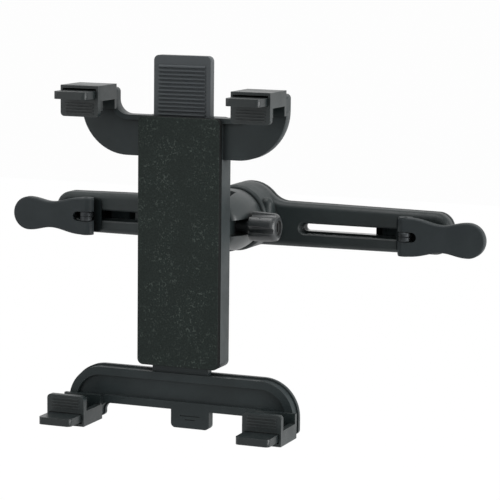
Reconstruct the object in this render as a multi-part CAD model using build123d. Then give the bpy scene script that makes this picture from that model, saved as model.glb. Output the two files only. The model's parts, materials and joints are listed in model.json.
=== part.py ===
from build123d import *
import os

# Headrest tablet mount: a bar that clamps to the two posts of a car headrest, a swivel neck with
# a tilt knob, and a tablet holder with four claws on an upper and a lower bracket.
# Millimetres. X runs along the bar, the holder faces -Y and Z is up.
# The origin lies midway between the two headrest posts, at the bar's mid height.

# How far cutting shapes run past the faces they open, and the room left beyond the ends of bolts
cut_margin = 1.0
bolt_end_gap = 1.0

# Headrest posts
post_radius = 6.0
post_grip_clearance = 0.1
post_to_bolt = 14.0
bolt_half_spacing = 102.0

# Headrest bar
bar_end_margin = 14.2
bar_thickness = 12.0
bar_root_top = 15.0
bar_root_bottom = 11.7
bar_end_top = 13.3
bar_end_bottom = 10.9
bar_end_radius = 9.5
bar_edge_radius = 3.5
bar_cover_thickness = 4.2
bar_cover_radius = 1.0
bar_seam_width = 1.0
bar_seam_depth = 0.8
bar_screw_sink = 2.2
bar_screw_bite = 5.0
bar_screw_spacing = 7.0
hub_z = 6.0
hub_radius = 19.6
hub_blend_radius = 14.0
hub_foot_radius = 6.0
boss_radius = 19.5
boss_height = 17.0
boss_edge_radius = 2.0
boss_lug_radius = 3.5
boss_lug_half_height = 5.0
boss_lug_reach = 11.5
boss_lug_sink = 1.4
boss_lug_rise = 4.0
slot_inner_x = 35.0
slot_end_margin = 10.5
slot_height = 4.4
slot_step = 1.0
slot_step_depth = 6.0
slot_step_bevel = 0.9
slot_chamfer = 0.8

# Swivel neck in the hub
swivel_gap = 0.3
spigot_radius = 10.0
spigot_clearance = 0.05
washer_radius = 12.6
washer_thickness = 1.5
washer_pocket_radius = 13.2
washer_pocket_depth = 6.5
swivel_screw_radius = 2.5
swivel_screw_length = 16.0
swivel_head_radius = 4.6
swivel_head_height = 2.4
cap_thickness = 1.5
neck_radius = 18.2
neck_gap_radius = 17.6
neck_groove_radius = 15.6
neck_groove_width = 0.9
neck_belly_reach = 29.0
neck_tip_radius = 13.5
neck_nose_radius = 4.0
neck_reach = 15.0
tilt_axis_reach = 36.0
tilt_axis_drop = 1.6
fork_gap = 12.6
fork_roof_start = 4.5
prong_seat_x = 9.5

# Tilt bolt and knob
tilt_bolt_radius = 2.5
tilt_bolt_end_x = 28.0
tilt_bolt_clearance = 0.05
bolt_head_across_flats = 8.0
bolt_head_height = 3.5
bolt_head_clearance = 0.1
knob_pocket_half_height = 4.7
knob_pocket_back_reach = 12.6
knob_collar_radius = 4.2
knob_collar_gap = 0.3
knob_start_x = 19.2
knob_length = 15.8
knob_radius = 9.0
knob_lobes = 5
knob_first_flute = 188.0
knob_scallop_radius = 2.6
knob_scallop_depth = 2.1
knob_lobe_radius = 1.4
knob_end_radius = 8.2
knob_edge_radius = 3.2
knob_dish_radius = 4.5
knob_dish_depth = 1.3
knob_slit_width = 2.2
knob_slit_height = 5.0
knob_slit_shift = 1.3
knob_slit_depth = 1.2

# Tablet holder housing
pad_reach = 101.0
body_half_width = 24.6
body_top_z = 71.7
body_bottom_z = -68.5
body_thickness = 18.2
body_corner_radius = 3.4
body_rear_radius = 2.5
panel_stand = 3.5
panel_groove = 0.8
panel_groove_depth = 1.2
panel_edge_radius = 0.8
lug_width = 12.0
lug_radius = 13.0
lug_clearance = 0.4
stem_root_half_height = 15.0
stem_cone_gap = 5.8
stem_cone_root_radius = 17.0
stem_cone_tip_radius = 11.0

# Upper and lower brackets
bracket_thickness = 8.2
bracket_step = 1.0
bracket_flange = 2.6
bracket_rim = 4.5
bracket_recess = 2.0
bracket_end_radius = 2.4
upper_outer_x = 61.5
upper_inner_x = 40.5
upper_end_z = 86.2
upper_web_top_z = 71.7
upper_web_bottom_z = 48.8
upper_outer_radius = 28.0
upper_inner_radius = 8.0
upper_lip = 2.8
upper_recess = 1.8
lower_outer_x = 69.6
lower_inner_x = 48.5
lower_end_z = -102.2
lower_web_top_z = -71.8
lower_web_bottom_z = -94.3
lower_outer_radius = 21.0
lower_inner_radius = 4.5
lower_tab_left_x = -5.0
lower_tab_right_x = 18.2
lower_tab_end_z = -103.6
lower_tab_thickness = 5.6
lower_tab_radius = 2.6
tab_groove_width = 12.0
tab_groove_height = 0.7
tab_groove_pitch = 2.2
tab_groove_depth = 0.5

# Sliding rail of the lower bracket
rail_half_width = 17.0
rail_thickness = 5.0
rail_set_back = 1.2
rail_top_z = 105.3
rail_corner_radius = 3.0
rail_clearance = 0.3
rib_pitch = 2.2
rib_width = 27.8
rib_height = 0.9
rib_foot = 1.8
rib_crest = 0.6
rib_top_margin = 6.2
rib_count = 40

# Detent spring behind the panel
spring_thickness = 0.4
spring_width = 12.0
spring_length = 19.0
spring_flat = 6.0
spring_pocket_depth = 2.0
spring_pocket_margin = 1.0
spring_gap = 0.25
spring_tip_length = 3.0
spring_bump_height = 0.6
spring_bump_length = 1.2

# Claws
claw_width = 22.8
claw_depth = 24.0
claw_box_height = 8.5
claw_wall = 1.2
claw_roof = 1.6
claw_plate_height = 17.2
claw_plate_thickness = 3.5
claw_plate_radius = 2.2
claw_base_thickness = 2.5
claw_base_height = 14.0
claw_screw_drop = 10.4
claw_ledge_width = 2.2
claw_ledge_thickness = 1.3
claw_rib_count = 4
claw_rib_pitch = 1.7
claw_rib_start = 1.4
claw_rib_width = 17.0
claw_rib_height = 0.5
claw_rib_thickness = 0.7
upper_claw_x = 50.6
upper_claw_z = 88.6
lower_claw_x = 59.2
lower_claw_z = -102.8

# Claw sliders
slider_clearance = 0.3
tongue_thickness = 4.2
lower_slider_pull = 2.0
tongue_reach = 12.5
tongue_corner_radius = 2.5
shoe_front = 6.0
shoe_back = 14.0
shoe_drop = 6.0

# Screws
screw_radius = 1.25
screw_hole_clearance = 0.15
screw_thread_clearance = 0.02
screw_head_radius = 2.5
screw_head_height = 1.7
screw_head_clearance = 0.2
screw_counterbore_depth = 4.0
screw_bite = 1.8
screw_tip_gap = 0.2
panel_screw_edge = 3.4
panel_screw_low = 12.0
panel_screw_high = 34.0

# Cam lever clamps
saddle_thickness = 1.5
saddle_length = 14.0
saddle_height = 20.0
saddle_corner_radius = 2.0
saddle_key_length = 8.0
saddle_key_depth = 4.0
slot_clearance = 0.2
cam_gap = 0.5
cam_radius = 4.2
cam_offset = 1.3
cam_pin_radius = 1.5
cam_pin_half_length = 10.0
cam_pin_clearance = 0.05
lever_front_stand = 3.0
lever_thickness = 4.6
lever_cam_half_height = 11.3
lever_waist_half_height = 8.0
lever_end_radius = 10.2
lever_start = 4.5
lever_shoulder = 2.0
lever_waist = 23.0
lever_reach = 48.3
lever_edge_radius = 1.2
lever_nose_radius = 4.2
fork_height = 5.9
fork_end = 7.6
eye_radius = 3.6
eye_width = 5.3
eye_bolt_radius = 2.0
jaw_outer_reach = 8.0
jaw_inner_reach = 24.0
jaw_half_height = 9.5
jaw_gap = 0.3
jaw_wall = 4.5
jaw_key_length = 9.0
jaw_key_depth = 5.0
jaw_corner_radius = 5.0
jaw_edge_radius = 1.2
nut_across_flats = 7.0
nut_height = 3.2
nut_clearance = 0.15
nut_pocket_depth = 3.8

# Places worked out from the sizes above
bar_back_y = -post_radius
bar_front_y = bar_back_y - bar_thickness
slot_outer_x = bolt_half_spacing + slot_end_margin
bar_half_length = slot_outer_x + bar_end_margin
bar_seam_y = bar_back_y - bar_cover_thickness
hub_face_y = bar_front_y - boss_height
neck_belly_y = bar_front_y - neck_belly_reach
tilt_y = bar_front_y - tilt_axis_reach
tilt_z = hub_z - tilt_axis_drop
pad_y = bar_front_y - pad_reach
body_front_y = pad_y + panel_stand
body_back_y = pad_y + body_thickness
bracket_back_y = body_front_y + bracket_thickness
rail_front_y = body_front_y + rail_set_back
rail_back_y = rail_front_y + rail_thickness
body_mid_z = (body_top_z + body_bottom_z) / 2
body_height = body_top_z - body_bottom_z
pin_y = bar_front_y - saddle_thickness - cam_gap - cam_radius - cam_offset
jaw_front_y = bar_back_y + jaw_gap
jaw_back_y = post_radius + jaw_wall
post_x = bolt_half_spacing - post_to_bolt
neck_front_y = tilt_y - neck_reach
stem_cone_length = neck_front_y - body_back_y - stem_cone_gap


def front_plane(y):
    """Plane facing the front (-Y), with X to the right and Z up."""
    return Plane(origin=(0, y, 0), x_dir=(1, 0, 0), z_dir=(0, -1, 0))


def side_plane(x):
    """Plane facing +X, with Y to the right and Z up."""
    return Plane(origin=(x, 0, 0), x_dir=(0, 1, 0), z_dir=(1, 0, 0))


def push_front(outline, y, length):
    """Extrude an X-Z outline from the plane at y towards the front."""
    return extrude(front_plane(y) * outline, abs(length), dir=(0, -1, 0))


def block(x0, x1, y0, y1, z0, z1):
    """Box between two opposite corners."""
    centre = ((x0 + x1) / 2, (y0 + y1) / 2, (z0 + z1) / 2)
    return Pos(*centre) * Box(abs(x1 - x0), abs(y1 - y0), abs(z1 - z0))


def rod_x(radius, x0, x1, y, z):
    """Round bar along X."""
    return Pos((x0 + x1) / 2, y, z) * Rot(0, 90, 0) * Cylinder(radius, abs(x1 - x0))


def rod_y(radius, y0, y1, x, z):
    """Round bar along Y."""
    return Pos(x, (y0 + y1) / 2, z) * Rot(90, 0, 0) * Cylinder(radius, abs(y1 - y0))


def rod_z(radius, z0, z1, x, y):
    """Round bar along Z."""
    return Pos(x, y, (z0 + z1) / 2) * Cylinder(radius, abs(z1 - z0))


def mirrored_x(shape):
    """The same piece on the other side of the middle."""
    return mirror(shape, about=Plane.YZ)


def near(vertices, x, y):
    """Corners of a sketch that lie at (+x, y) or (-x, y)."""
    return [v for v in vertices if abs(abs(v.X) - x) < 1e-3 and abs(v.Y - y) < 1e-3]


# Headrest bar
def bar_outline():
    reach = bar_half_length
    arms = Polygon(
        (-reach, bar_end_top),
        (-reach, -bar_end_bottom),
        (0, -bar_root_bottom),
        (reach, -bar_end_bottom),
        (reach, bar_end_top),
        (0, bar_root_top),
        align=None,
    )
    arms = fillet([v for v in arms.vertices() if abs(v.X) > reach / 2], bar_end_radius)
    outline = arms + Pos(0, hub_z) * Circle(hub_radius)
    tops = [v for v in outline.vertices() if v.Y > 0 and 1 < abs(v.X) < hub_radius]
    outline = fillet(tops, hub_blend_radius)
    feet = [v for v in outline.vertices() if v.Y < -bar_end_bottom and 1 < abs(v.X) < hub_radius]
    return fillet(feet, hub_foot_radius)


def slot_outline(growth):
    """Outline of the slot, grown on all sides."""
    length = slot_outer_x - slot_inner_x
    middle = (slot_outer_x + slot_inner_x) / 2
    return Pos(middle, 0) * SlotOverall(length + 2 * growth, slot_height + 2 * growth)


def slot_cut():
    """Slot through the bar, wider at the front, with a bevelled step and a bevelled mouth."""
    slot = push_front(slot_outline(0), bar_back_y, bar_thickness)
    wide = push_front(slot_outline(slot_step), bar_front_y + slot_step_depth, slot_step_depth)
    slot += chamfer(wide.faces().sort_by(Axis.Y)[-1].edges(), slot_step_bevel)
    mouth = push_front(slot_outline(slot_step + slot_chamfer), bar_front_y + slot_chamfer, 2 * slot_chamfer)
    return slot + chamfer(mouth.faces().sort_by(Axis.Y)[-1].edges(), slot_chamfer)


def boss_lug():
    """Upright round-ended lug on the side of the swivel boss."""
    half = boss_lug_half_height
    lug = rod_z(boss_lug_radius, -half, half, 0, 0)
    for end in (-half, half):
        lug += Pos(0, 0, end) * Sphere(boss_lug_radius)
    return Pos(boss_radius - boss_lug_sink, bar_front_y - boss_lug_reach, hub_z + boss_lug_rise) * lug


bar_screw_places = [
    (side * x, 0)
    for side in (-1, 1)
    for x in (slot_inner_x - bar_screw_spacing, slot_outer_x + bar_screw_spacing)
]


def headrest_bar():
    bar = push_front(bar_outline(), bar_seam_y, bar_thickness - bar_cover_thickness)
    front_edges = bar.faces().sort_by(Axis.Y)[0].edges()
    bar = fillet(front_edges, bar_edge_radius)
    boss_root_y = bar_front_y + bar_edge_radius
    boss = Pos(0, (boss_root_y + hub_face_y) / 2, hub_z) * Rot(90, 0, 0) * Cone(
        hub_radius, boss_radius, boss_root_y - hub_face_y
    )
    boss = fillet(boss.edges().sort_by(Axis.Y)[0], boss_edge_radius)
    bar += boss
    lug = boss_lug()
    bar += lug
    bar += mirrored_x(lug)
    slot = slot_cut()
    bar -= slot
    bar -= mirrored_x(slot)
    bar -= rod_y(spigot_radius + spigot_clearance, bar_back_y, hub_face_y, 0, hub_z)
    bar -= rod_y(washer_pocket_radius, bar_back_y, bar_back_y - washer_pocket_depth, 0, hub_z)
    for x, z in bar_screw_places:
        tip_y = bar_seam_y - bar_screw_bite - screw_tip_gap
        bar -= rod_y(screw_radius + screw_thread_clearance, bar_seam_y, tip_y, x, z)
    return bar


def bar_cover():
    """Rear cover, set in round its front so that a groove shows where it meets the bar."""
    groove_y = bar_seam_y + bar_seam_width
    cover = push_front(bar_outline(), bar_back_y, bar_cover_thickness - bar_seam_width)
    cover = fillet(cover.faces().sort_by(Axis.Y)[-1].edges(), bar_cover_radius)
    cover += push_front(offset(bar_outline(), -bar_seam_depth), groove_y, bar_seam_width)
    slot = slot_cut()
    cover -= slot
    cover -= mirrored_x(slot)
    cover -= rod_y(washer_pocket_radius, bar_back_y, bar_seam_y, 0, hub_z)
    for x, z in bar_screw_places:
        cover -= screw_passage(x, z, bar_back_y, bar_seam_y, bar_screw_sink)
    return cover


def bar_screws():
    seat_y = bar_back_y - bar_screw_sink
    return Compound([screw(x, z, seat_y, bar_seam_y - bar_screw_bite) for x, z in bar_screw_places])


def hub_cap():
    return rod_y(washer_pocket_radius, bar_back_y, bar_back_y - cap_thickness, 0, hub_z)


# Swivel neck and its fastening
def swivel_neck():
    start_y = hub_face_y - swivel_gap
    groove_y = start_y - neck_groove_width
    root = (neck_gap_radius, groove_y)
    belly = (neck_radius, neck_belly_y)
    tip = (neck_tip_radius, neck_front_y)
    side = Polyline((0, start_y), (neck_groove_radius, start_y), (neck_groove_radius, groove_y), root)
    side += ThreePointArc(root, belly, tip)
    side += Polyline(tip, (0, neck_front_y), (0, start_y))
    neck = revolve(Pos(0, 0, hub_z) * make_face(side), Axis((0, 0, hub_z), (0, 1, 0)))
    neck = fillet(neck.edges().sort_by(Axis.Y)[0], neck_nose_radius)
    neck -= rod_x(lug_radius + lug_clearance, -fork_gap / 2, fork_gap / 2, tilt_y, tilt_z)
    neck -= block(
        -fork_gap / 2,
        fork_gap / 2,
        tilt_y + fork_roof_start,
        neck_front_y - cut_margin,
        hub_z - neck_radius - cut_margin,
        hub_z + neck_radius + cut_margin,
    )
    outside_x = neck_radius + cut_margin
    pocket_y = tilt_y + knob_pocket_back_reach - knob_pocket_half_height
    low = tilt_z - knob_pocket_half_height
    high = tilt_z + knob_pocket_half_height
    pocket = rod_x(knob_pocket_half_height, prong_seat_x, outside_x, pocket_y, tilt_z)
    pocket += block(prong_seat_x, outside_x, pocket_y, neck_front_y - cut_margin, low, high)
    neck -= pocket
    neck -= rod_x(tilt_bolt_radius + tilt_bolt_clearance, -outside_x, outside_x, tilt_y, tilt_z)
    head_pocket = bolt_head_across_flats + 2 * bolt_head_clearance
    neck -= hex_bar_x(head_pocket, -outside_x, -prong_seat_x, tilt_y, tilt_z)
    spigot_end_y = bar_back_y - washer_pocket_depth + swivel_gap
    neck += rod_y(spigot_radius, start_y, spigot_end_y, 0, hub_z)
    neck -= rod_y(
        swivel_screw_radius + screw_thread_clearance,
        spigot_end_y,
        spigot_end_y - swivel_screw_length,
        0,
        hub_z,
    )
    return neck


def hex_bar_x(across_flats, x0, x1, y, z):
    """Hexagonal bar along X."""
    outline = Pos(y, z) * RegularPolygon(across_flats / 2, 6, major_radius=False)
    return extrude(side_plane(x0) * outline, x1 - x0)


def swivel_washer():
    seat_y = bar_back_y - washer_pocket_depth + swivel_gap
    ring = rod_y(washer_radius, seat_y, seat_y + washer_thickness, 0, hub_z)
    hole = rod_y(swivel_screw_radius + screw_hole_clearance, seat_y, seat_y + washer_thickness, 0, hub_z)
    return ring - hole


def swivel_screw():
    seat_y = bar_back_y - washer_pocket_depth + swivel_gap + washer_thickness
    head = rod_y(swivel_head_radius, seat_y, seat_y + swivel_head_height, 0, hub_z)
    tip_y = seat_y - washer_thickness - swivel_screw_length + bolt_end_gap
    return head + rod_y(swivel_screw_radius, seat_y, tip_y, 0, hub_z)


def tilt_bolt():
    head = hex_bar_x(
        bolt_head_across_flats, -prong_seat_x - bolt_head_height, -prong_seat_x, tilt_y, tilt_z
    )
    return head + rod_x(tilt_bolt_radius, -prong_seat_x, tilt_bolt_end_x, tilt_y, tilt_z)


def tilt_knob():
    outline = Circle(knob_radius)
    flute_centre = knob_radius + knob_scallop_radius - knob_scallop_depth
    flutes = PolarLocations(flute_centre, knob_lobes, start_angle=knob_first_flute)
    outline -= flutes * Circle(knob_scallop_radius)
    outline = fillet(outline.vertices(), knob_lobe_radius)
    grip = extrude(side_plane(knob_start_x) * Pos(tilt_y, tilt_z) * outline, knob_length)
    end_x = knob_start_x + knob_length
    taper = Pos((knob_start_x + end_x) / 2, tilt_y, tilt_z) * Rot(0, 90, 0) * Cone(
        knob_radius, knob_end_radius, knob_length
    )
    knob = grip & fillet(taper.edges().sort_by(Axis.X)[-1], knob_edge_radius)
    knob -= rod_x(knob_dish_radius, end_x - knob_dish_depth, end_x, tilt_y, tilt_z)
    dish_x = end_x - knob_dish_depth
    slit_y = tilt_y + knob_slit_shift
    knob -= block(
        dish_x - knob_slit_depth,
        dish_x,
        slit_y - knob_slit_width / 2,
        slit_y + knob_slit_width / 2,
        tilt_z - knob_slit_height / 2,
        tilt_z + knob_slit_height / 2,
    )
    knob += rod_x(knob_collar_radius, prong_seat_x + knob_collar_gap, knob_start_x, tilt_y, tilt_z)
    bore_end_x = tilt_bolt_end_x + bolt_end_gap
    knob -= rod_x(tilt_bolt_radius + tilt_bolt_clearance, prong_seat_x, bore_end_x, tilt_y, tilt_z)
    return knob


# Brackets, each drawn as a U
def u_outline(outer_x, inner_x, end_z, web_near_z, web_far_z, outer_radius, inner_radius):
    outline = Polygon(
        (-outer_x, end_z),
        (-inner_x, end_z),
        (-inner_x, web_near_z),
        (inner_x, web_near_z),
        (inner_x, end_z),
        (outer_x, end_z),
        (outer_x, web_far_z),
        (-outer_x, web_far_z),
        align=None,
    )
    outline = fillet(near(outline.vertices(), outer_x, web_far_z), outer_radius)
    outline = fillet(near(outline.vertices(), inner_x, web_near_z), inner_radius)
    ends = near(outline.vertices(), outer_x, end_z) + near(outline.vertices(), inner_x, end_z)
    return fillet(ends, bracket_end_radius)


def upper_outline():
    return u_outline(
        upper_outer_x,
        upper_inner_x,
        upper_end_z,
        upper_web_top_z,
        upper_web_bottom_z,
        upper_outer_radius,
        upper_inner_radius,
    )


def upper_bracket():
    """Upper bracket with a raised lip along the edge between its arms and a raised seat for each claw."""
    bracket = push_front(upper_outline(), bracket_back_y, bracket_thickness)
    gap_top_z = 2 * upper_end_z - upper_web_top_z
    gap = Polygon(
        (-upper_inner_x, gap_top_z),
        (-upper_inner_x, upper_web_top_z),
        (upper_inner_x, upper_web_top_z),
        (upper_inner_x, gap_top_z),
        align=None,
    )
    gap = fillet(near(gap.vertices(), upper_inner_x, upper_web_top_z), upper_inner_radius)
    low_z = upper_web_bottom_z - cut_margin
    seat_z = upper_claw_z - claw_base_height
    lowered = Pos(0, (low_z + seat_z) / 2) * Rectangle(2 * upper_outer_x + cut_margin, seat_z - low_z)
    lowered -= offset(gap, upper_lip)
    return bracket - push_front(lowered, body_front_y + upper_recess, upper_recess)


def lower_outline():
    return u_outline(
        lower_outer_x,
        lower_inner_x,
        lower_end_z,
        lower_web_bottom_z,
        lower_web_top_z,
        lower_outer_radius,
        lower_inner_radius,
    )


# Screw places
panel_screw_places = [
    (sx * (body_half_width - panel_screw_edge), z)
    for sx in (-1, 1)
    for z in (body_bottom_z + panel_screw_low, body_mid_z, body_top_z - panel_screw_high)
]


def claw_screw_place(claw_x, claw_z, inward):
    return (claw_x, claw_z + inward * claw_screw_drop)


def screw(x, z, seat_y, tip_y):
    """Pan-head screw driven from the back towards the front."""
    head = rod_y(screw_head_radius, seat_y, seat_y + screw_head_height, x, z)
    return head + rod_y(screw_radius, seat_y, tip_y, x, z)


def screw_passage(x, z, back_y, front_y, sink):
    """Clearance hole with a counterbore at the back."""
    hole = rod_y(screw_radius + screw_hole_clearance, back_y, front_y, x, z)
    head_radius = screw_head_radius + screw_head_clearance
    return hole + rod_y(head_radius, back_y, back_y - sink, x, z)


# Holder housing with the upper bracket and the hinge stem moulded on
def body_outline():
    return Pos(0, body_mid_z) * RectangleRounded(2 * body_half_width, body_height, body_corner_radius)


def hinge_stem():
    profile = Polygon(
        (tilt_y, tilt_z - lug_radius),
        (tilt_y, tilt_z + lug_radius),
        (body_back_y, tilt_z + stem_root_half_height),
        (body_back_y, tilt_z - stem_root_half_height),
        align=None,
    )
    profile += Pos(tilt_y, tilt_z) * Circle(lug_radius)
    lug = extrude(side_plane(-lug_width / 2) * profile, lug_width)
    cone = Pos(0, body_back_y + stem_cone_length / 2, tilt_z) * Rot(-90, 0, 0) * Cone(
        stem_cone_root_radius, stem_cone_tip_radius, stem_cone_length
    )
    stem = lug + cone
    return stem - rod_x(tilt_bolt_radius + tilt_bolt_clearance, -lug_width, lug_width, tilt_y, tilt_z)


def holder_housing():
    body = push_front(body_outline(), body_back_y, body_thickness - panel_stand)
    rear_edges = body.faces().sort_by(Axis.Y)[-1].edges()
    body = fillet(rear_edges, body_rear_radius)
    housing = body + upper_bracket() + hinge_stem()
    channel_half = rail_half_width + rail_clearance
    housing -= block(
        -channel_half,
        channel_half,
        body_front_y - cut_margin,
        rail_back_y + rail_clearance,
        body_bottom_z - cut_margin,
        rail_top_z,
    )
    for x, z in panel_screw_places:
        housing -= screw_passage(x, z, body_back_y, body_front_y, screw_counterbore_depth)
    for sx in (-1, 1):
        x, z = claw_screw_place(upper_claw_x, upper_claw_z, -1)
        housing -= screw_passage(sx * x, z, bracket_back_y, body_front_y, screw_counterbore_depth)
        socket_radius = screw_head_radius + screw_hole_clearance
        housing -= rod_y(socket_radius, body_front_y, body_front_y + bracket_recess, sx * x, z)
    return housing


def front_panel():
    plate = push_front(body_outline(), body_front_y - panel_groove, panel_stand - panel_groove)
    plate = fillet(plate.faces().sort_by(Axis.Y)[0].edges(), panel_edge_radius)
    lip_outline = offset(body_outline(), -panel_groove_depth)
    lip = push_front(lip_outline, body_front_y, panel_groove)
    panel = plate + lip
    for x, z in panel_screw_places:
        tip_y = body_front_y - screw_bite - screw_tip_gap
        panel -= rod_y(screw_radius + screw_thread_clearance, body_front_y, tip_y, x, z)
    half = spring_width / 2 + spring_pocket_margin
    panel -= block(
        -half,
        half,
        body_front_y,
        body_front_y - spring_pocket_depth,
        spring_top_z + spring_pocket_margin,
        spring_top_z - spring_length - spring_pocket_margin,
    )
    return panel


def panel_screws():
    seat_y = body_back_y - screw_counterbore_depth
    return Compound([screw(x, z, seat_y, body_front_y - screw_bite) for x, z in panel_screw_places])


# Rail ribs run down from the top of the rail
def rib_z(index):
    return rail_top_z - rib_top_margin - index * rib_pitch


def rail_rib():
    """One bevelled rib across the rail, standing on y = 0."""
    profile = Polygon(
        (0, -rib_foot / 2),
        (0, rib_foot / 2),
        (-rib_height, rib_crest / 2),
        (-rib_height, -rib_crest / 2),
        align=None,
    )
    return extrude(side_plane(-rib_width / 2) * profile, rib_width)


# The detent bump rests in the groove between two ribs a little below the top of the body
detent_index = round((rail_top_z - rib_top_margin - body_top_z + spring_length) / rib_pitch)
detent_z = rib_z(detent_index) + rib_pitch / 2
spring_top_z = detent_z + spring_length - spring_tip_length


def detent_spring():
    floor_y = body_front_y - spring_pocket_depth + spring_thickness / 2
    tip_y = rail_front_y - rib_height - spring_gap - spring_thickness / 2
    path = Polyline(
        (floor_y, spring_top_z),
        (floor_y, spring_top_z - spring_flat),
        (tip_y - spring_bump_height, detent_z + spring_bump_length),
        (tip_y, detent_z),
        (tip_y - spring_bump_height, detent_z - spring_bump_length),
    )
    leaf = trace(path, spring_thickness)
    return extrude(side_plane(-spring_width / 2) * leaf, spring_width)


# Lower bracket in one moulding: a stepped U with a rim round its recessed face, a rail and a finger tab
def lower_bracket():
    face = offset(lower_outline(), -bracket_step)
    bracket = push_front(face, bracket_back_y, bracket_thickness)
    bracket += push_front(lower_outline(), bracket_back_y, bracket_flange)
    bracket -= push_front(offset(face, -bracket_rim), body_front_y + bracket_recess, bracket_recess)
    rail_low_z = lower_web_top_z - bracket_rim
    rail_height = rail_top_z - rail_low_z
    outline = Pos(0, rail_low_z + rail_height / 2) * Rectangle(2 * rail_half_width, rail_height)
    outline = fillet(near(outline.vertices(), rail_half_width, rail_top_z), rail_corner_radius)
    bracket += push_front(outline, rail_back_y, rail_thickness)
    for index in range(rib_count):
        bracket += Pos(0, rail_front_y, rib_z(index)) * rail_rib()
    tab_width = lower_tab_right_x - lower_tab_left_x
    tab_middle = (lower_tab_right_x + lower_tab_left_x) / 2
    tab_top_z = lower_web_bottom_z + bracket_rim / 2
    tab_height = tab_top_z - lower_tab_end_z
    tab = Pos(tab_middle, (tab_top_z + lower_tab_end_z) / 2) * Rectangle(tab_width, tab_height)
    tab = fillet([v for v in tab.vertices() if v.Y < lower_web_bottom_z], lower_tab_radius)
    bracket += push_front(tab, body_front_y + lower_tab_thickness, lower_tab_thickness)
    for step in (1, 2):
        z = lower_web_bottom_z - step * tab_groove_pitch
        half = tab_groove_width / 2 / step
        bracket -= block(
            tab_middle - half,
            tab_middle + half,
            body_front_y,
            body_front_y + tab_groove_depth,
            z - tab_groove_height / 2,
            z + tab_groove_height / 2,
        )
    for sx in (-1, 1):
        x, z = claw_screw_place(lower_claw_x, lower_claw_z, 1)
        bracket -= screw_passage(sx * x, z, bracket_back_y, body_front_y, screw_counterbore_depth)
    return bracket


# Claws are drawn for the upper bracket: seat at y = 0, roof at z = 0, plate hanging down
def claw_solid():
    front_y = -claw_depth
    half = claw_width / 2
    inner = half - claw_wall
    ledge_top_z = -claw_box_height + claw_ledge_thickness
    claw = block(-half, half, front_y, 0, 0, -claw_box_height)
    plate = Pos(0, -claw_plate_height / 2) * Rectangle(claw_width, claw_plate_height)
    plate = fillet([v for v in plate.vertices() if v.Y < -1], claw_plate_radius)
    claw += push_front(plate, front_y + claw_plate_thickness, claw_plate_thickness)
    claw += block(-half, half, -claw_base_thickness, 0, 0, -claw_base_height)
    claw -= block(-inner, inner, front_y - cut_margin, -claw_base_thickness, -claw_roof, ledge_top_z)
    mouth = inner - claw_ledge_width
    mouth_front_y = front_y + claw_plate_thickness
    below_z = -claw_box_height - cut_margin
    claw -= block(-mouth, mouth, mouth_front_y, -claw_base_thickness, ledge_top_z, below_z)
    tongue_top_z = ledge_top_z + slider_clearance + tongue_thickness
    guide_z = tongue_top_z + slider_clearance
    for sx in (-1, 1):
        claw += block(
            sx * inner, sx * mouth, mouth_front_y, -claw_base_thickness, -claw_roof, guide_z
        )
    first_rib_z = -claw_box_height - claw_rib_start
    for index in range(claw_rib_count):
        z = first_rib_z - index * claw_rib_pitch
        claw += block(
            -claw_rib_width / 2,
            claw_rib_width / 2,
            front_y,
            front_y - claw_rib_height,
            z,
            z - claw_rib_thickness,
        )
    screw_z = -claw_screw_drop
    claw += rod_y(screw_head_radius, 0, bracket_recess, 0, screw_z)
    tip_y = -screw_bite - screw_tip_gap
    claw -= rod_y(screw_radius + screw_thread_clearance, bracket_recess, tip_y, 0, screw_z)
    return claw


def slider_solid():
    front_y = -claw_depth
    half = claw_width / 2 - claw_wall - slider_clearance
    low_z = -claw_box_height + claw_ledge_thickness + slider_clearance
    length = tongue_reach + shoe_back
    middle_y = front_y - tongue_reach + length / 2
    outline = Pos(0, middle_y) * Rectangle(2 * half, length)
    outline = fillet([v for v in outline.vertices() if v.Y < middle_y], tongue_corner_radius)
    tongue = extrude(Plane.XY.offset(low_z) * outline, tongue_thickness)
    shoe_half = half - claw_ledge_width
    shoe = block(
        -shoe_half,
        shoe_half,
        front_y + shoe_front,
        front_y + shoe_back,
        low_z + tongue_thickness / 2,
        -claw_box_height - shoe_drop,
    )
    return tongue + shoe


def place_claw(shape, claw_x, claw_z, side, inward, pull=0):
    """Put a claw piece on an arm's end; inward is -1 on the upper bracket and 1 on the lower."""
    if inward > 0:
        shape = mirror(shape, about=Plane.XY)
    return Pos(side * claw_x, body_front_y - pull, claw_z) * shape


def claw_screws(claw_x, claw_z, inward):
    x, z = claw_screw_place(claw_x, claw_z, inward)
    seat_y = bracket_back_y - screw_counterbore_depth
    tip_y = body_front_y - screw_bite
    return Compound([screw(side * x, z, seat_y, tip_y) for side in (-1, 1)])


# Cam lever clamp, drawn on the right-hand side
def saddle():
    x = bolt_half_spacing
    plate = block(
        x - saddle_length / 2,
        x + saddle_length / 2,
        bar_front_y,
        bar_front_y - saddle_thickness,
        -saddle_height / 2,
        saddle_height / 2,
    )
    plate = fillet(plate.edges().filter_by(Axis.Y), saddle_corner_radius)
    key_half = slot_height / 2 + slot_step - slot_clearance
    key = block(
        x - saddle_key_length / 2,
        x + saddle_key_length / 2,
        bar_front_y,
        bar_front_y + saddle_key_depth,
        -key_half,
        key_half,
    )
    return plate + key - rod_y(eye_bolt_radius + slot_clearance, pin_y, bar_back_y, x, 0)


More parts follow.
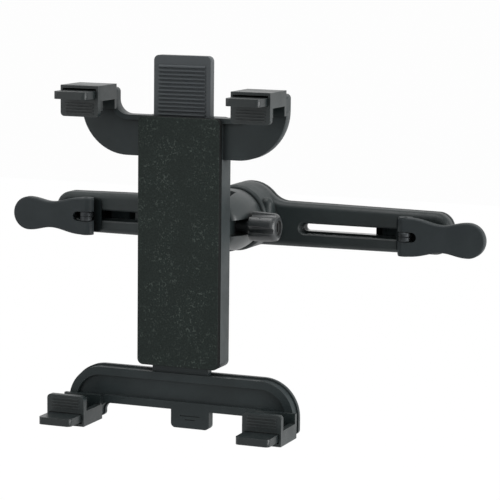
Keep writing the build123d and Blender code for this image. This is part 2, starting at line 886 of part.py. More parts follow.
def clamp_jaw():
    x = bolt_half_spacing
    jaw = block(
        x - jaw_inner_reach,
        x + jaw_outer_reach,
        jaw_front_y,
        jaw_back_y,
        -jaw_half_height,
        jaw_half_height,
    )
    jaw = fillet(jaw.edges().filter_by(Axis.Z).sort_by(Axis.Y)[2:], jaw_corner_radius)
    jaw = fillet(jaw.faces().sort_by(Axis.Y)[-1].edges().filter_by(Axis.X), jaw_edge_radius)
    key_half = slot_height / 2 - slot_clearance
    jaw += block(
        x - jaw_key_length / 2,
        x + jaw_key_length / 2,
        jaw_front_y,
        bar_back_y - jaw_key_depth,
        -key_half,
        key_half,
    )
    grip = post_radius + post_grip_clearance
    jaw -= rod_z(grip, -jaw_half_height, jaw_half_height, post_x, 0)
    jaw -= block(post_x - grip, post_x + grip, jaw_front_y, 0, -jaw_half_height, jaw_half_height)
    jaw -= rod_y(eye_bolt_radius + screw_hole_clearance, jaw_back_y, bar_front_y, x, 0)
    jaw -= hex_bar_y(
        nut_across_flats + 2 * nut_clearance, jaw_back_y, jaw_back_y - nut_pocket_depth, x, 0
    )
    return jaw


def hex_bar_y(across_flats, y0, y1, x, z):
    """Hexagonal bar along Y."""
    outline = Pos(x, z) * RegularPolygon(across_flats / 2, 6, major_radius=False)
    return push_front(outline, y0, y0 - y1)


def jaw_nut():
    x = bolt_half_spacing
    seat_y = jaw_back_y - nut_pocket_depth
    nut = hex_bar_y(nut_across_flats, seat_y + nut_height, seat_y, x, 0)
    return nut - rod_y(eye_bolt_radius + screw_thread_clearance, seat_y, seat_y + nut_height, x, 0)


def eye_bolt():
    x = bolt_half_spacing
    eye = rod_z(eye_radius, -eye_width / 2, eye_width / 2, x, pin_y)
    bolt = eye + rod_y(eye_bolt_radius, pin_y, jaw_back_y, x, 0)
    return bolt - rod_z(cam_pin_radius + cam_pin_clearance, -eye_width, eye_width, x, pin_y)


def cam_pin():
    return rod_z(cam_pin_radius, -cam_pin_half_length, cam_pin_half_length, bolt_half_spacing, pin_y)


def lever_outline():
    x = bolt_half_spacing
    end_x = x + lever_reach - lever_end_radius
    edge = Polyline((x - lever_start, 0), (x - lever_start, lever_cam_half_height))
    edge += Line((x - lever_start, lever_cam_half_height), (x + lever_shoulder, lever_cam_half_height))
    edge += Spline(
        (x + lever_shoulder, lever_cam_half_height),
        (x + lever_waist, lever_waist_half_height),
        (end_x, lever_end_radius),
        tangents=[(1, 0), (1, 0), (1, 0)],
    )
    edge += CenterArc((end_x, 0), lever_end_radius, 0, 90)
    edge += Line((end_x + lever_end_radius, 0), (x - lever_start, 0))
    half = make_face(edge)
    return half + mirror(half, about=Plane.XZ)


def cam_lever():
    x = bolt_half_spacing
    front_y = pin_y - lever_front_stand
    paddle = push_front(lever_outline(), front_y + lever_thickness, lever_thickness)
    nose = paddle.edges().filter_by(Axis.Z).sort_by(Axis.X)[0:2].sort_by(Axis.Y)[0]
    paddle = fillet(nose, lever_nose_radius)
    paddle = fillet(paddle.faces().sort_by(Axis.Y)[0].edges(), lever_edge_radius)
    barrel_y = pin_y + cam_offset
    barrel = rod_z(cam_radius, -lever_cam_half_height, lever_cam_half_height, x, barrel_y)
    lever = paddle + barrel
    fork_half = fork_height / 2
    fork_round_x = x + fork_end - fork_half
    open_x = x - lever_start - cut_margin
    open_y = front_y - cut_margin
    back_y = barrel_y + cam_radius + cut_margin
    lever -= block(open_x, fork_round_x, open_y, back_y, -fork_half, fork_half)
    lever -= rod_y(fork_half, open_y, back_y, fork_round_x, 0)
    lever -= rod_z(
        cam_pin_radius + cam_pin_clearance, -lever_cam_half_height, lever_cam_half_height, x, pin_y
    )
    return lever


pieces = {
    "headrest_bar": headrest_bar(),
    "bar_cover": bar_cover(),
    "bar_screws": bar_screws(),
    "hub_cap": hub_cap(),
    "swivel_neck": swivel_neck(),
    "swivel_washer": swivel_washer(),
    "swivel_screw": swivel_screw(),
    "tilt_bolt": tilt_bolt(),
    "tilt_knob": tilt_knob(),
    "holder_housing": holder_housing(),
    "front_panel": front_panel(),
    "panel_screws": panel_screws(),
    "detent_spring": detent_spring(),
    "lower_bracket": lower_bracket(),
    "upper_claw_screws": claw_screws(upper_claw_x, upper_claw_z, -1),
    "lower_claw_screws": claw_screws(lower_claw_x, lower_claw_z, 1),
}
claw_places = {
    "upper": (upper_claw_x, upper_claw_z, -1, 0),
    "lower": (lower_claw_x, lower_claw_z, 1, lower_slider_pull),
}
claw = claw_solid()
slider = slider_solid()
for level, (claw_x, claw_z, inward, pull) in claw_places.items():
    for side, sign in (("left", -1), ("right", 1)):
        pieces[f"{level}_{side}_claw"] = place_claw(claw, claw_x, claw_z, sign, inward)
        pieces[f"{level}_{side}_slider"] = place_claw(slider, claw_x, claw_z, sign, inward, pull)
clamp_pieces = {
    "clamp_saddle": saddle(),
    "clamp_jaw": clamp_jaw(),
    "eye_bolt": eye_bolt(),
    "jaw_nut": jaw_nut(),
    "cam_pin": cam_pin(),
    "cam_lever": cam_lever(),
}
for name, shape in clamp_pieces.items():
    pieces[f"right_{name}"] = shape
    pieces[f"left_{name}"] = mirrored_x(shape)

os.makedirs("parts", exist_ok=True)
for name, shape in pieces.items():
    export_step(shape, f"parts/{name}.step")
    print(name, round(shape.volume), "mm3")
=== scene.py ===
import json
import math

import bmesh
import bpy
from mathutils import Matrix, Vector


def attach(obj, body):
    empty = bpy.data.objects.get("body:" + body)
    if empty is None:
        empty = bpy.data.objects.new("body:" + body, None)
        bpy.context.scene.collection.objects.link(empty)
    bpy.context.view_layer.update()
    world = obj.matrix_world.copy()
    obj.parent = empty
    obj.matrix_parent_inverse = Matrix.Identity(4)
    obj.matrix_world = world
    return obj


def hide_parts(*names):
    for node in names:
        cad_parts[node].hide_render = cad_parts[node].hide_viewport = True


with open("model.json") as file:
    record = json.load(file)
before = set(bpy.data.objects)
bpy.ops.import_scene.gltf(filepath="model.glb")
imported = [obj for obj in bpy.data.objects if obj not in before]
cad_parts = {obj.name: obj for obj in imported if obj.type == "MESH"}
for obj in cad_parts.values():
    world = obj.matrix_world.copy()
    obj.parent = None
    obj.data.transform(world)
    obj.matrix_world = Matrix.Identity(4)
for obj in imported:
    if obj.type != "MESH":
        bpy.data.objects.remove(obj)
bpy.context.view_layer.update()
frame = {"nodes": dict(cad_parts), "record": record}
nodes = frame["nodes"]
scene = bpy.context.scene
print("frame loaded,", len(nodes), "moulded and metal pieces")


# node helpers
def newGroup(name, inputs, outputs):
    tree = bpy.data.node_groups.new(name, "ShaderNodeTree")
    for label, value in inputs.items():
        kind = "NodeSocketVector" if isinstance(value, tuple) else "NodeSocketFloat"
        socket = tree.interface.new_socket(name=label, in_out="INPUT", socket_type=kind)
        socket.default_value = value
    for label in outputs:
        tree.interface.new_socket(name=label, in_out="OUTPUT", socket_type="NodeSocketFloat")
    return tree, tree.nodes.new("NodeGroupInput").outputs, tree.nodes.new("NodeGroupOutput").inputs


def groupNode(tree, group, values=None):
    node = tree.nodes.new("ShaderNodeGroup")
    node.node_tree = group
    for key, value in (values or {}).items():
        node.inputs[key].default_value = value
    return node.outputs


def addNode(tree, kind, settings=None, values=None):
    node = tree.nodes.new(kind)
    for key, value in (settings or {}).items():
        setattr(node, key, value)
    for key, value in (values or {}).items():
        node.inputs[key].default_value = value
    return node


def mathNode(tree, operation, first, second=None, clamp=False):
    node = addNode(tree, "ShaderNodeMath", {"operation": operation, "use_clamp": clamp})
    for index, value in enumerate((first, second)):
        if value is None:
            continue
        if isinstance(value, (int, float)):
            node.inputs[index].default_value = value
        else:
            tree.links.new(value, node.inputs[index])
    return node.outputs[0]


def vectorNode(tree, operation, first, second=None):
    node = addNode(tree, "ShaderNodeVectorMath", {"operation": operation})
    tree.links.new(first, node.inputs[0])
    if second is not None:
        tree.links.new(second, node.inputs[1])
    return node.outputs


def splitVector(tree, vector):
    node = addNode(tree, "ShaderNodeSeparateXYZ")
    tree.links.new(vector, node.inputs["Vector"])
    return node.outputs


def remap(tree, value, fromLow, fromHigh, toLow=0.0, toHigh=1.0):
    node = addNode(tree, "ShaderNodeMapRange", {"interpolation_type": "SMOOTHSTEP"})
    tree.links.new(value, node.inputs["Value"])
    levels = {"From Min": fromLow, "From Max": fromHigh, "To Min": toLow, "To Max": toHigh}
    for label, level in levels.items():
        node.inputs[label].default_value = level
    return node.outputs["Result"]


def mixColour(tree, factor, first, second):
    node = addNode(tree, "ShaderNodeMix", {"data_type": "RGBA"})
    tree.links.new(factor, node.inputs["Factor"])
    for index, value in ((6, first), (7, second)):  # the mix node's two colour sockets
        if isinstance(value, tuple):
            node.inputs[index].default_value = (*value, 1)
        else:
            tree.links.new(value, node.inputs[index])
    return node.outputs[2]


def noiseAt(tree, vector, scale, detail=3.0, roughness=0.55):
    node = addNode(tree, "ShaderNodeTexNoise", None, {"Detail": detail, "Roughness": roughness})
    tree.links.new(vector, node.inputs["Vector"])
    if isinstance(scale, (int, float)):
        node.inputs["Scale"].default_value = scale
    else:
        tree.links.new(scale, node.inputs["Scale"])
    return node.outputs["Fac"]


# fine pebbled grain of a spark eroded mould, with cloudy patches of tone
pebbles = {
    "smoothness": 0.6,
    "cellShare": 0.6,
    "fineDetail": 2.0,
    "cloud": {"detail": 4.0, "roughness": 0.6},
    "cloudRange": (0.36, 0.66),
}


def makeMouldGrain(shape):
    sizes = {"Grain Scale": 1800.0, "Patch Scale": 45.0}
    tree, given, out = newGroup("mouldGrain", sizes, ["Height", "Patches"])
    spot = addNode(tree, "ShaderNodeTexCoord").outputs["Object"]
    smoothness = {"Smoothness": shape["smoothness"]}
    cells = addNode(tree, "ShaderNodeTexVoronoi", {"feature": "SMOOTH_F1"}, smoothness)
    tree.links.new(spot, cells.inputs["Vector"])
    tree.links.new(given["Grain Scale"], cells.inputs["Scale"])
    fine = noiseAt(tree, spot, given["Grain Scale"], shape["fineDetail"])
    pebbled = mathNode(tree, "MULTIPLY", cells.outputs["Distance"], shape["cellShare"])
    tree.links.new(mathNode(tree, "ADD", pebbled, fine), out["Height"])
    cloud = noiseAt(tree, spot, given["Patch Scale"], **shape["cloud"])
    tree.links.new(remap(tree, cloud, *shape["cloudRange"]), out["Patches"])
    return tree


# edges that hands and packing have rubbed a little lighter and smoother
rubbedEdges = {
    "samples": 4,
    "turnRange": (0.02, 0.22),
    "breakup": {"detail": 5.0, "roughness": 0.65},
    "breakupRange": (0.40, 0.62),
    "breakupFloor": 0.25,
}


def makeEdgeRub(shape):
    tree, given, out = newGroup("edgeRub", {"Radius": 0.0006, "Breakup Scale": 260.0}, ["Mask"])
    rounded = addNode(tree, "ShaderNodeBevel", {"samples": shape["samples"]})
    tree.links.new(given["Radius"], rounded.inputs["Radius"])
    flat = addNode(tree, "ShaderNodeNewGeometry")
    dot = vectorNode(tree, "DOT_PRODUCT", rounded.outputs["Normal"], flat.outputs["Normal"])
    turned = mathNode(tree, "SUBTRACT", 1.0, dot["Value"])
    turned = remap(tree, turned, *shape["turnRange"])
    spot = addNode(tree, "ShaderNodeTexCoord").outputs["Object"]
    broken = noiseAt(tree, spot, given["Breakup Scale"], **shape["breakup"])
    broken = remap(tree, broken, *shape["breakupRange"], shape["breakupFloor"])
    tree.links.new(mathNode(tree, "MULTIPLY", turned, broken), out["Mask"])
    return tree


# hair scratches and finger smears
handMarks = {
    "smear": {"detail": 6.0, "roughness": 0.7},
    "smearRange": (0.30, 0.72),
    "scratch": {"detail": 1.0, "roughness": 0.4},
    "scratchRange": (0.70, 0.76),
    "strokes": [(0.5, 22.0), (-0.9, 16.0)],  # turn in radians, then how drawn out
    "lean": 0.6,
}


def makeHandling(shape):
    sizes = {"Smear Scale": 60.0, "Scratch Scale": 220.0}
    tree, given, out = newGroup("handling", sizes, ["Smears", "Scratches"])
    spot = addNode(tree, "ShaderNodeTexCoord").outputs["Object"]
    smear = noiseAt(tree, spot, given["Smear Scale"], **shape["smear"])
    tree.links.new(remap(tree, smear, *shape["smearRange"]), out["Smears"])
    lines = []
    for turn, stretch in shape["strokes"]:
        mapping = addNode(tree, "ShaderNodeMapping")
        mapping.inputs["Rotation"].default_value = (turn, turn * shape["lean"], turn)
        mapping.inputs["Scale"].default_value = (1.0, stretch, stretch)
        tree.links.new(spot, mapping.inputs["Vector"])
        line = noiseAt(tree, mapping.outputs["Vector"], given["Scratch Scale"], **shape["scratch"])
        lines.append(remap(tree, line, *shape["scratchRange"]))
    tree.links.new(mathNode(tree, "MAXIMUM", *lines), out["Scratches"])
    return tree


# thin dust that lies on upward faces
dustFall = {
    "upRange": (0.55, 0.98),
    "speck": {"detail": 6.0, "roughness": 0.75},
    "speckRange": (0.45, 0.75),
}


def makeSettledDust(shape):
    tree, given, out = newGroup("settledDust", {"Speck Scale": 420.0}, ["Mask"])
    coords = addNode(tree, "ShaderNodeTexCoord").outputs
    upward = remap(tree, splitVector(tree, coords["Normal"])["Z"], *shape["upRange"])
    specks = noiseAt(tree, coords["Object"], given["Speck Scale"], **shape["speck"])
    specks = remap(tree, specks, *shape["speckRange"])
    tree.links.new(mathNode(tree, "MULTIPLY", upward, specks), out["Mask"])
    return tree


# painted shade in nooks between ribs and along seams: an ambient occlusion mask, which mixes the
# colour towards a dark shade and makes the surface rougher so it shines less
nookDepth = {"samples": 8, "hiddenRange": (0.08, 0.75)}


def makeNooks(shape):
    tree, given, out = newGroup("nooks", {"Reach": 0.0016}, ["Mask"])
    near = addNode(tree, "ShaderNodeAmbientOcclusion", {"samples": shape["samples"]})
    tree.links.new(given["Reach"], near.inputs["Distance"])
    hidden = mathNode(tree, "SUBTRACT", 1.0, near.outputs["AO"])
    tree.links.new(remap(tree, hidden, *shape["hiddenRange"]), out["Mask"])
    return tree


# a round inset at the end of a piece that lies along x
def makeInset():
    tree, given, out = newGroup("inset", {"Centre": (0, 0, 0), "Radius": 0.004}, ["Mask"])
    spot = addNode(tree, "ShaderNodeTexCoord").outputs["Object"]
    away = splitVector(tree, vectorNode(tree, "SUBTRACT", spot, given["Centre"])["Vector"])
    flat = addNode(tree, "ShaderNodeCombineXYZ")
    for axis in ("Y", "Z"):
        tree.links.new(away[axis], flat.inputs[axis])
    reach = vectorNode(tree, "LENGTH", flat.outputs["Vector"])["Value"]
    inside = mathNode(tree, "LESS_THAN", reach, given["Radius"])
    outward = mathNode(tree, "GREATER_THAN", away["X"], 0.0)
    tree.links.new(mathNode(tree, "MULTIPLY", inside, outward), out["Mask"])
    return tree


# faces between two heights: slot walls that another piece slides along, and the rail above the
# bracket, where a painted sheen lies
# Steepness keeps to those that face up or down
def makeWearAndSheenBand():
    limits = {"Low": 0.0, "High": 0.1, "Steepness": 0.0}
    tree, given, out = newGroup("slideWear", limits, ["Mask"])
    coords = addNode(tree, "ShaderNodeTexCoord").outputs
    height = splitVector(tree, coords["Object"])["Z"]
    level = mathNode(tree, "ABSOLUTE", splitVector(tree, coords["Normal"])["Z"])
    above = mathNode(tree, "GREATER_THAN", height, given["Low"])
    below = mathNode(tree, "LESS_THAN", height, given["High"])
    level = mathNode(tree, "GREATER_THAN", level, given["Steepness"])
    mask = mathNode(tree, "MULTIPLY", mathNode(tree, "MULTIPLY", above, below), level)
    tree.links.new(mask, out["Mask"])
    return tree


mouldGrain = makeMouldGrain(pebbles)
edgeRub = makeEdgeRub(rubbedEdges)
handling = makeHandling(handMarks)
settledDust = makeSettledDust(dustFall)
nooks = makeNooks(nookDepth)
inset = makeInset()
slideWear = makeWearAndSheenBand()
print("surface effects made")


# what all the materials start and end with
def startMaterial(name):
    material = bpy.data.materials.new(name)
    material.use_nodes = True
    return material, material.node_tree, material.node_tree.nodes["Principled BSDF"]


def grainOf(tree, look):
    scales = {"Grain Scale": look["grainScale"], "Patch Scale": look["patchScale"]}
    return groupNode(tree, mouldGrain, scales)


def addBump(tree, shader, height, look):
    depth = {"Strength": look["bump"], "Distance": look["bumpDepth"]}
    bump = addNode(tree, "ShaderNodeBump", None, depth)
    tree.links.new(height, bump.inputs["Height"])
    tree.links.new(bump.outputs["Normal"], shader.inputs["Normal"])


# black mouldings
satinBlack = {
    "dark": (0.0073, 0.0110, 0.0114),
    "light": (0.0102, 0.0150, 0.0155),
    "rubbed": (0.060, 0.064, 0.065),
    "dustColour": (0.16, 0.16, 0.155),
    "roughness": (0.36, 0.46),
    "ior": 1.5,
    "grainScale": 2600.0,
    "patchScale": 45.0,
    "rubRadius": 0.0007,
    "rub": 0.35,
    "rubSmooth": 0.08,
    # colour of the painted shade in nooks and seams, then how strong it is, how far it reaches and
    # how much rougher it makes the surface
    "paintedShade": (0.0022, 0.0030, 0.0031),
    "nook": 0.85,
    "nookReach": 0.0018,
    "nookRough": 0.5,
    "dust": 0.10,
    "scratch": 0.05,
    "bump": 0.12,
    "bumpDepth": 0.0002,
}
finishes = {
    "bar_plastic": {
        **satinBlack,
        "ior": 1.36,
        "roughness": (0.45, 0.55),
        "bump": 0.16,
        "nook": 1.0,
        "nookReach": 0.003,
        "slide": {  # walls of the two slots
            "Low": -0.0062,
            "High": 0.0062,
            "Steepness": 0.8,
            "colour": (0.0102, 0.0150, 0.0155),
            "smoother": 0.38,
            "shadeRemoved": 1.0,
        },
    },
    "neck_plastic": {
        **satinBlack,
        "roughness": (0.34, 0.42),
        "bump": 0.08,
        "nook": 1.0,
        "nookReach": 0.003,
    },
    "knob_plastic": {
        **satinBlack,
        "dark": (0.0125, 0.0148, 0.0158),
        "light": (0.0165, 0.0192, 0.0203),
        "roughness": (0.33, 0.40),
        "rub": 0.10,
        "bump": 0.02,
        "inset": {"centre": (0.0310, -0.054, 0.0044), "radius": 0.0046, "depth": 0.8},
    },
    "holder_plastic": {
        **satinBlack,
        "ior": 1.30,
        "dark": (0.0112, 0.0155, 0.0164),
        "light": (0.0150, 0.0206, 0.0217),
        "nook": 1.0,
        "nookReach": 0.0032,
    },
    "claw_plastic": {**satinBlack, "ior": 1.40, "roughness": (0.33, 0.44)},
    "slider_plastic": {
        **satinBlack,
        "ior": 1.40,
        "dark": (0.0048, 0.0078, 0.0082),
        "light": (0.0070, 0.0106, 0.0111),
        "roughness": (0.30, 0.40),
    },
    # saddle and jaws: the darkest base, and painted shade that reaches furthest into the nooks, so
    # they read dark beside the levers
    "clamp_plastic": {
        **satinBlack,
        "ior": 1.20,
        "dark": (0.0028, 0.0052, 0.0058),
        "light": (0.0040, 0.0070, 0.0077),
        "roughness": (0.55, 0.68),
        "rub": 0.05,
        "nook": 1.0,
        "nookReach": 0.006,
    },
    "lever_plastic": {
        **satinBlack,
        "ior": 1.27,
        "dark": (0.0134, 0.0174, 0.0190),
        "light": (0.0168, 0.0213, 0.0230),
        "roughness": (0.43, 0.51),
        "rub": 0.06,
        "bump": 0.06,
    },
}
bracketLook = {
    **finishes["holder_plastic"],
    "nook": 0.4,
    "nookReach": 0.0018,
    # painted sheen: the rail is painted a lighter grey and carries less painted shade, as if its
    # ribs caught the light from above
    "slide": {  # the rail, above the bracket
        "Low": -0.062,
        "High": 0.12,
        "Steepness": -1.0,
        "colour": (0.046, 0.052, 0.056),
        "smoother": 0.0,
        "shadeRemoved": 0.5,
    },
}


def makePlastic(name, look):
    material, tree, shader = startMaterial(name)
    shader.inputs["IOR"].default_value = look["ior"]
    grain = grainOf(tree, look)
    rub = groupNode(tree, edgeRub, {"Radius": look["rubRadius"]})
    hands = groupNode(tree, handling)
    dust = groupNode(tree, settledDust)
    colour = mixColour(tree, grain["Patches"], look["dark"], look["light"])
    rubbed = mathNode(tree, "MULTIPLY", rub["Mask"], look["rub"])
    colour = mixColour(tree, rubbed, colour, look["rubbed"])
    dusty = mathNode(tree, "MULTIPLY", dust["Mask"], look["dust"])
    colour = mixColour(tree, dusty, colour, look["dustColour"])
    # painted shade: where the ambient occlusion mask finds nooks, the colour is mixed towards the
    # dark shade colour
    shade = groupNode(tree, nooks, {"Reach": look["nookReach"]})["Mask"]
    shade = mathNode(tree, "MULTIPLY", shade, look["nook"])
    # the round inset at the knob's end is darkened with the same colour
    if "inset" in look:
        place = look["inset"]
        dish = groupNode(tree, inset, {"Centre": place["centre"], "Radius": place["radius"]})
        dish = mathNode(tree, "MULTIPLY", dish["Mask"], place["depth"])
        shade = mathNode(tree, "MAXIMUM", shade, dish)
    # slot walls worn smoother, and the painted sheen on the rail: in a band of heights the colour is
    # set lighter and the painted shade is lifted
    if "slide" in look:
        slide = look["slide"]
        limits = {key: slide[key] for key in ("Low", "High", "Steepness")}
        wearAndSheenMask = groupNode(tree, slideWear, limits)["Mask"]
        shadeRemoved = mathNode(tree, "MULTIPLY", wearAndSheenMask, slide["shadeRemoved"])
        shade = mathNode(tree, "MULTIPLY", shade, mathNode(tree, "SUBTRACT", 1.0, shadeRemoved))
        colour = mixColour(tree, wearAndSheenMask, colour, slide["colour"])
    colour = mixColour(tree, shade, colour, look["paintedShade"])
    tree.links.new(colour, shader.inputs["Base Color"])
    rough = remap(tree, hands["Smears"], 0.0, 1.0, *look["roughness"])
    shadeRoughening = mathNode(tree, "MULTIPLY", shade, look["nookRough"])
    rough = mathNode(tree, "ADD", rough, shadeRoughening, clamp=True)
    scratched = mathNode(tree, "MULTIPLY", hands["Scratches"], look["scratch"])
    rough = mathNode(tree, "ADD", rough, scratched)
    smoothed = mathNode(tree, "MULTIPLY", rubbed, look["rubSmooth"])
    rough = mathNode(tree, "SUBTRACT", rough, smoothed, clamp=True)
    if "slide" in look:
        smoothed = mathNode(tree, "MULTIPLY", wearAndSheenMask, slide["smoother"])
        rough = mathNode(tree, "SUBTRACT", rough, smoothed, clamp=True)
    tree.links.new(rough, shader.inputs["Roughness"])
    addBump(tree, shader, grain["Height"], look)
    return material


# sand grained face of the holder, with painted shade round its rim: faces that don't face the front
# are painted near black
panelFace = {
    "dark": (0.0016, 0.0050, 0.0038),
    "light": (0.0058, 0.0120, 0.0098),
    "speck": (0.036, 0.046, 0.041),
    "rim": (0.0012, 0.0018, 0.0017),
    "roughness": (0.50, 0.66),
    "ior": 1.30,
    "sandScale": 1150.0,
    "sand": {"detail": 4.0, "roughness": 0.62},
    "sandRange": (0.3, 0.7),
    "toneRange": (0.38, 0.66),
    "pitScale": 620.0,
    "pitShare": 0.5,
    "speckRange": (0.84, 1.0),
    "grainScale": 2300.0,
    "patchScale": 60.0,
    "patchFloor": 0.65,
    "rimRange": (0.55, 0.9),
    "bump": 0.55,
    "bumpDepth": 0.00035,
}


def makeSandGrain(name, look):
    material, tree, shader = startMaterial(name)
    shader.inputs["IOR"].default_value = look["ior"]
    coords = addNode(tree, "ShaderNodeTexCoord").outputs
    sand = noiseAt(tree, coords["Object"], look["sandScale"], **look["sand"])
    pits = addNode(tree, "ShaderNodeTexVoronoi", {"feature": "F1"}, {"Scale": look["pitScale"]})
    tree.links.new(coords["Object"], pits.inputs["Vector"])
    pitted = mathNode(tree, "MULTIPLY", pits.outputs["Distance"], look["pitShare"])
    height = mathNode(tree, "ADD", sand, pitted)
    patches = grainOf(tree, look)["Patches"]
    tone = remap(tree, sand, *look["toneRange"])
    tone = mathNode(tree, "MULTIPLY", tone, remap(tree, patches, 0.0, 1.0, look["patchFloor"]))
    colour = mixColour(tree, tone, look["dark"], look["light"])
    specks = mathNode(tree, "MULTIPLY", remap(tree, height, *look["speckRange"]), patches)
    colour = mixColour(tree, specks, colour, look["speck"])
    # painted shade: faces that turn away from the front are mixed towards the near black rim colour
    # and made fully rough
    facing = mathNode(tree, "ABSOLUTE", splitVector(tree, coords["Normal"])["Y"])
    rim = remap(tree, facing, *look["rimRange"], 1.0, 0.0)
    colour = mixColour(tree, rim, colour, look["rim"])
    tree.links.new(colour, shader.inputs["Base Color"])
    low, high = look["roughness"]
    rough = remap(tree, sand, *look["sandRange"], high, low)
    tree.links.new(mathNode(tree, "MAXIMUM", rough, rim), shader.inputs["Roughness"])
    addBump(tree, shader, height, look)
    return material


# zinc plated screws and nuts, black bolts
platedMetal = {
    "grainScale": 3500.0,
    "patchScale": 260.0,
    "smearScale": 200.0,
    "scratchScale": 700.0,
    "scratch": 0.12,
    "bumpDepth": 0.0001,
}
zincSteel = {
    **platedMetal,
    "dark": (0.36, 0.36, 0.35),
    "light": (0.58, 0.58, 0.56),
    "roughness": (0.26, 0.42),
    "bump": 0.08,
}
blackOxide = {
    **platedMetal,
    "dark": (0.030, 0.033, 0.035),
    "light": (0.052, 0.056, 0.059),
    "roughness": (0.52, 0.64),
    "bump": 0.10,
}


def makeMetal(name, look):
    material, tree, shader = startMaterial(name)
    shader.inputs["Metallic"].default_value = 1.0
    grain = grainOf(tree, look)
    marks = {"Smear Scale": look["smearScale"], "Scratch Scale": look["scratchScale"]}
    hands = groupNode(tree, handling, marks)
    colour = mixColour(tree, grain["Patches"], look["dark"], look["light"])
    tree.links.new(colour, shader.inputs["Base Color"])
    rough = remap(tree, hands["Smears"], 0.0, 1.0, *look["roughness"])
    scratched = mathNode(tree, "MULTIPLY", hands["Scratches"], look["scratch"])
    rough = mathNode(tree, "ADD", rough, scratched, clamp=True)
    tree.links.new(rough, shader.inputs["Roughness"])
    addBump(tree, shader, grain["Height"], look)
    return material


materials = {slot: makePlastic(slot, look) for slot, look in finishes.items()}
materials["panel_grain"] = makeSandGrain("panel_grain", panelFace)
materials["steel"] = makeMetal("steel", zincSteel)
materials["black_steel"] = makeMetal("black_steel", blackOxide)
for part in frame["record"]["subparts"]:
    mesh = nodes[part["node"]].data
    mesh.materials.clear()
    mesh.materials.append(materials[part["material_slot"]])
bracketFinish = makePlastic("holder_plastic_bracket", bracketLook)
nodes["lower_bracket"].data.materials[0] = bracketFinish
print("materials made:", ", ".join(sorted(materials)))


# turned work: rings of a (radius, height) profile about the local z axis
def turnProfile(bm, profile, segments=36):
    rings = []
    for radius, height in profile:
        count = segments if radius > 0 else 1
        ring = []
        for step in range(count):
            angle = 2 * math.pi * step / segments
            ring.append(bm.verts.new((radius * math.cos(angle), radius * math.sin(angle), height)))
        rings.append(ring)
    for lower, upper in zip(rings, rings[1:]):
        for step in range(segments):
            after = (step + 1) % segments
            corners = [lower[step % len(lower)], lower[after % len(lower)]]
            corners += [upper[after % len(upper)], upper[step % len(upper)]]
            bm.faces.new(list(dict.fromkeys(corners)))


# a ridge that winds down from the given height, one pitch a turn
def windThread(bm, crest, root, pitch, top, length, segments=28):
    rows = []
    for row in range(int(2 * length / pitch)):
        radius = crest if row % 2 else root
        points = []
        for step in range(segments):
            angle = 2 * math.pi * step / segments
            height = top - (row / 2 + step / segments) * pitch
            points.append(bm.verts.new((radius * math.cos(angle), radius * math.sin(angle), height)))
        rows.append(points)
    for row in range(len(rows) - 3):
        upper, lower = rows[row], rows[row + 1]
        for step in range(segments - 1):
            bm.faces.new((upper[step], lower[step], lower[step + 1], upper[step + 1]))
        bm.faces.new((upper[-1], lower[-1], rows[row + 3][0], rows[row + 2][0]))


turnedFinish = {"weld": 0.000001, "sharpAngle": 32}


def meshFrom(name, bm):
    bmesh.ops.remove_doubles(bm, verts=bm.verts, dist=turnedFinish["weld"])
    bmesh.ops.recalc_face_normals(bm, faces=bm.faces)
    mesh = bpy.data.meshes.new(name)
    bm.to_mesh(mesh)
    bm.free()
    return mesh


def turnedMesh(name, profile, segments=36):
    bm = bmesh.new()
    turnProfile(bm, profile, segments)
    return meshFrom(name, bm)


# cuts one mesh with another and gives the result
def carve(mesh, cutter, operation="DIFFERENCE"):
    pair = [bpy.data.objects.new("blank", mesh), bpy.data.objects.new("cutter", cutter)]
    for obj in pair:
        scene.collection.objects.link(obj)
    cut = pair[0].modifiers.new("cut", "BOOLEAN")
    cut.object = pair[1]
    cut.operation = operation
    cut.solver = "EXACT"
    graph = bpy.context.evaluated_depsgraph_get()
    result = bpy.data.meshes.new_from_object(pair[0].evaluated_get(graph))
    for obj in pair:
        bpy.data.objects.remove(obj)
    return result


# one piece from copies of a mesh, each put in place by a matrix
def addPiece(name, copies, body, slot, stands):
    bm = bmesh.new()
    for mesh, place in copies:
        first = len(bm.verts)
        bm.from_mesh(mesh)
        bm.verts.ensure_lookup_table()
        bmesh.ops.transform(bm, matrix=place, verts=bm.verts[first:])
    mesh = bpy.data.meshes.new(name)
    bm.to_mesh(mesh)
    bm.free()
    mesh.polygons.foreach_set("use_smooth", [True] * len(mesh.polygons))
    mesh.set_sharp_from_angle(angle=math.radians(turnedFinish["sharpAngle"]))
    mesh.materials.clear()
    mesh.materials.append(materials[slot])
    piece = bpy.data.objects.new(name, mesh)
    scene.collection.objects.link(piece)
    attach(piece, body)
    if stands:
        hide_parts(*stands)


towardsBack = Matrix.Rotation(math.radians(-90), 4, "X")  # local z points to the back of the mount


# place of a turned mesh, twisted by some degrees about its own axis
def facingBack(x, y, z, twist=0):
    turn = Matrix.Rotation(math.radians(twist), 4, "Z")
    return Matrix.Translation((x, y, z)) @ towardsBack @ turn


